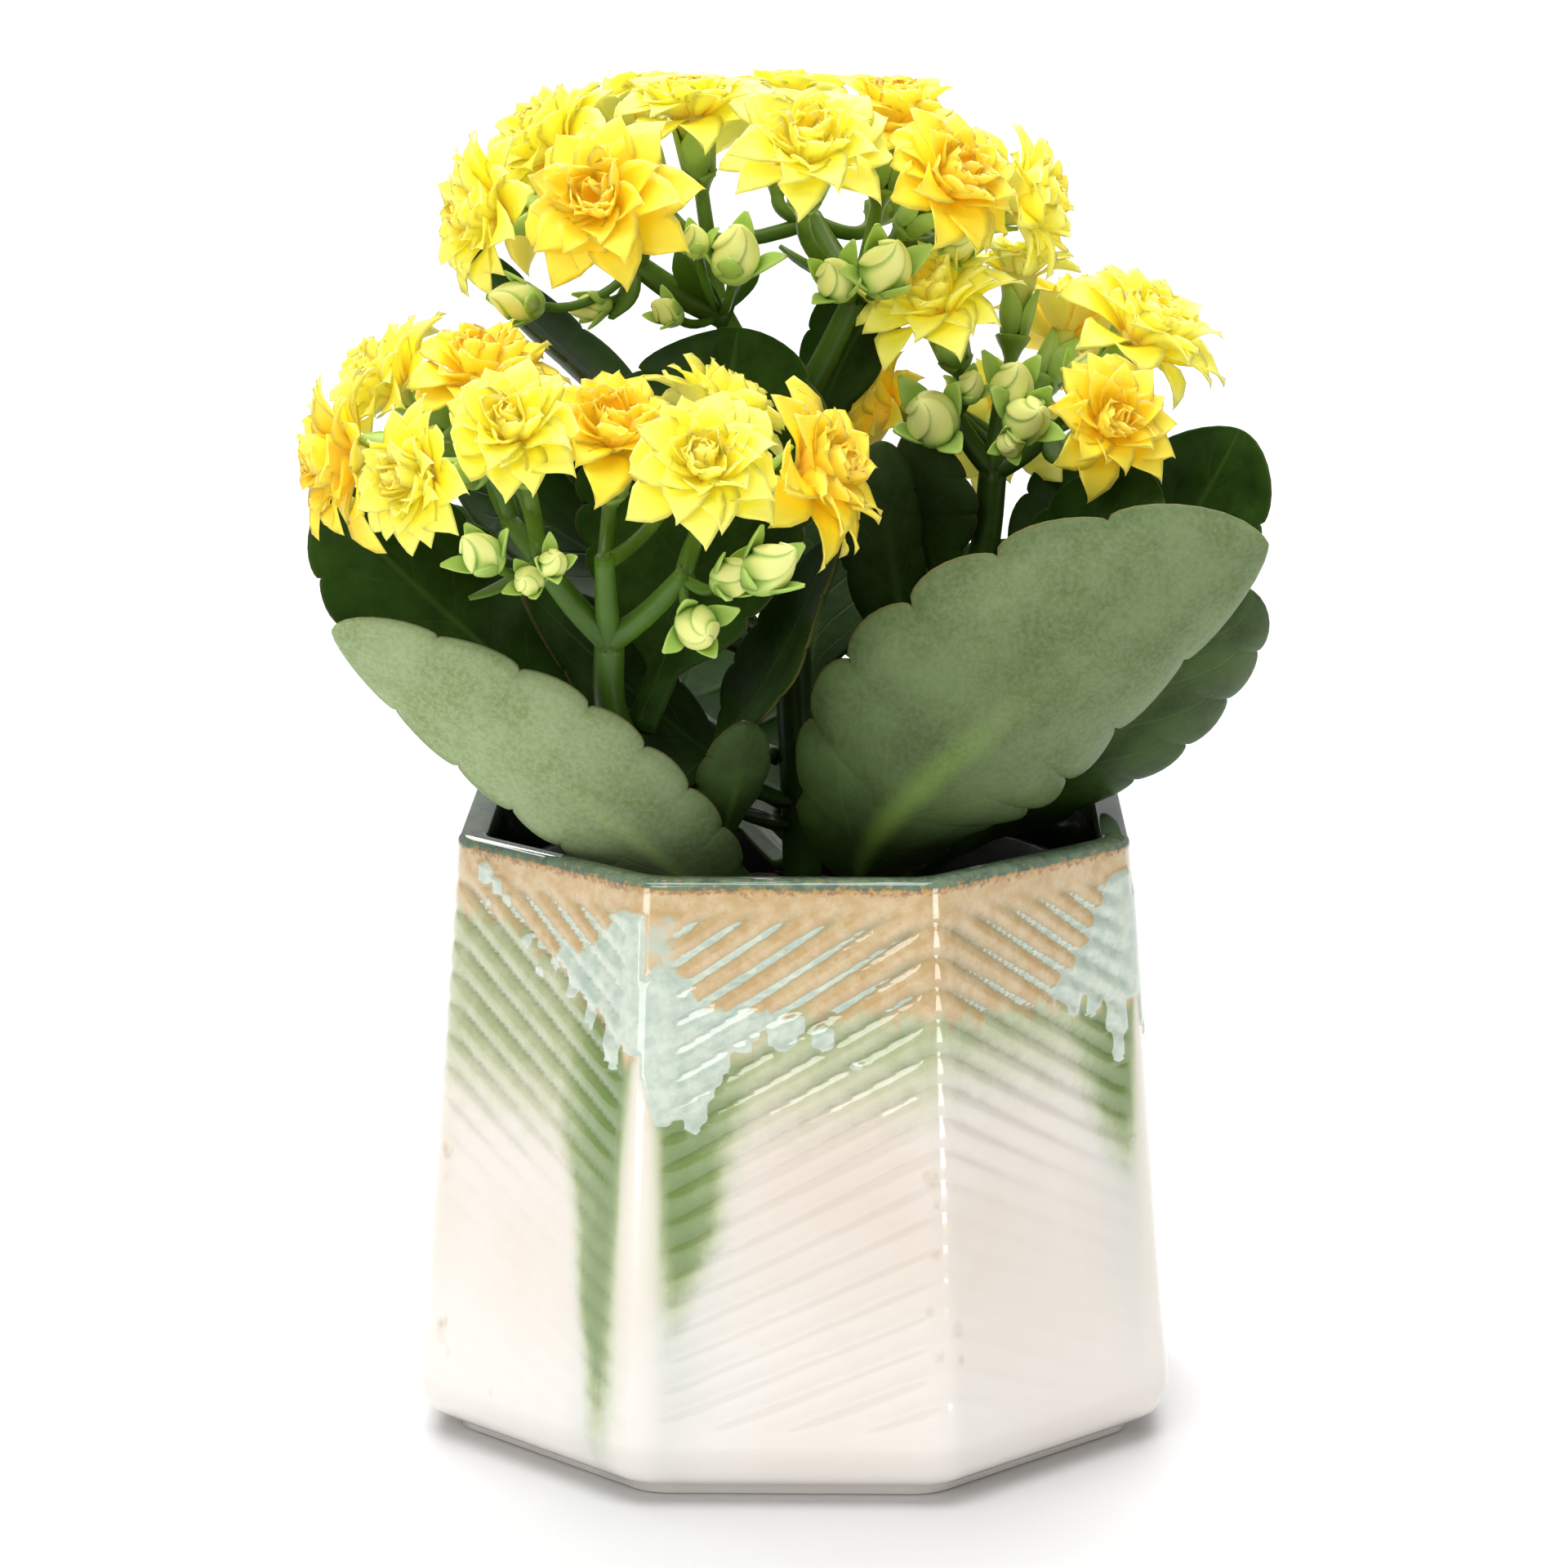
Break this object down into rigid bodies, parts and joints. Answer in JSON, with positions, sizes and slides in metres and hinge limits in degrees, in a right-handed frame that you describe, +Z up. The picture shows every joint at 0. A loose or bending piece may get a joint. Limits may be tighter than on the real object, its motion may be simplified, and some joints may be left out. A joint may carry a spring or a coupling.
{
  "type": "potted flowering plant",
  "caption": "Double yellow flowering kalanchoe with scalloped fleshy leaves in an eight-sided glazed herringbone pot.",
  "frame": {"origin": "middle of the pot's flat underside, on the surface that it stands on", "axes": "+Z up along the pot's axis, -Y out of the pot's front face, +X to the viewer's right"},
  "size_m": [0.1163, 0.0943, 0.1637],
  "materials": {
    "glaze": "glossy reactive glaze, cream below, tan, green and pale blue above, running in the grooves",
    "nursery_plastic": "thin moulded plastic",
    "peat": "crumbly, matte",
    "green_stem": "smooth, satin, green",
    "leaf": "fleshy, semi-gloss above, paler and matte below",
    "lemon_petal": "soft, matte, lemon yellow",
    "amber_petal": "soft, matte, amber yellow"
  },
  "bodies": {
    "root": {"pot": "glaze", "nursery_pot": "nursery_plastic", "soil": "peat", "stalk_front": "green_stem", "stalk_back": "green_stem", "stalk_right": "green_stem", "leaf_front_right": "leaf", "leaf_front_left": "leaf", "leaf_left_low": "leaf", "leaf_left": "leaf", "leaf_left_inner": "leaf", "leaf_centre_left": "leaf", "leaf_centre_tall": "leaf", "leaf_centre_small": "leaf", "leaf_upper_left": "leaf", "leaf_upper_right": "leaf", "leaf_right_arched": "leaf", "leaf_right_rear": "leaf", "leaf_right_far": "leaf", "leaf_right_low": "leaf", "leaf_right_narrow": "leaf", "leaf_right_inner": "leaf", "leaf_centre": "leaf", "leaf_centre_low": "leaf", "leaf_rear_left": "leaf", "leaf_rear_right": "leaf", "leaf_rear_far_right": "leaf", "leaf_rear_upper_left": "leaf", "leaf_rear_upper_right": "leaf", "leaf_rear_far_left": "leaf", "bloom_back_01": "lemon_petal", "bloom_back_02": "amber_petal", "bloom_back_03": "lemon_petal", "bloom_back_04": "amber_petal", "bloom_back_05": "amber_petal", "bloom_back_06": "lemon_petal", "bloom_back_07": "lemon_petal", "bloom_back_08": "lemon_petal", "bloom_back_09": "lemon_petal", "bloom_back_10": "lemon_petal", "bloom_back_11": "amber_petal", "bloom_back_12": "amber_petal", "bloom_front_13": "amber_petal", "bloom_front_14": "lemon_petal", "bloom_front_15": "amber_petal", "bloom_front_16": "lemon_petal", "bloom_front_17": "lemon_petal", "bloom_front_18": "amber_petal", "bloom_front_19": "lemon_petal", "bloom_front_20": "amber_petal", "bloom_front_21": "lemon_petal", "bloom_right_22": "lemon_petal", "bloom_right_23": "lemon_petal", "bloom_right_24": "amber_petal", "bloom_right_25": "lemon_petal", "bloom_right_26": "amber_petal", "bloom_right_27": "lemon_petal", "bloom_right_28": "amber_petal"}
  },
  "joints": []
}
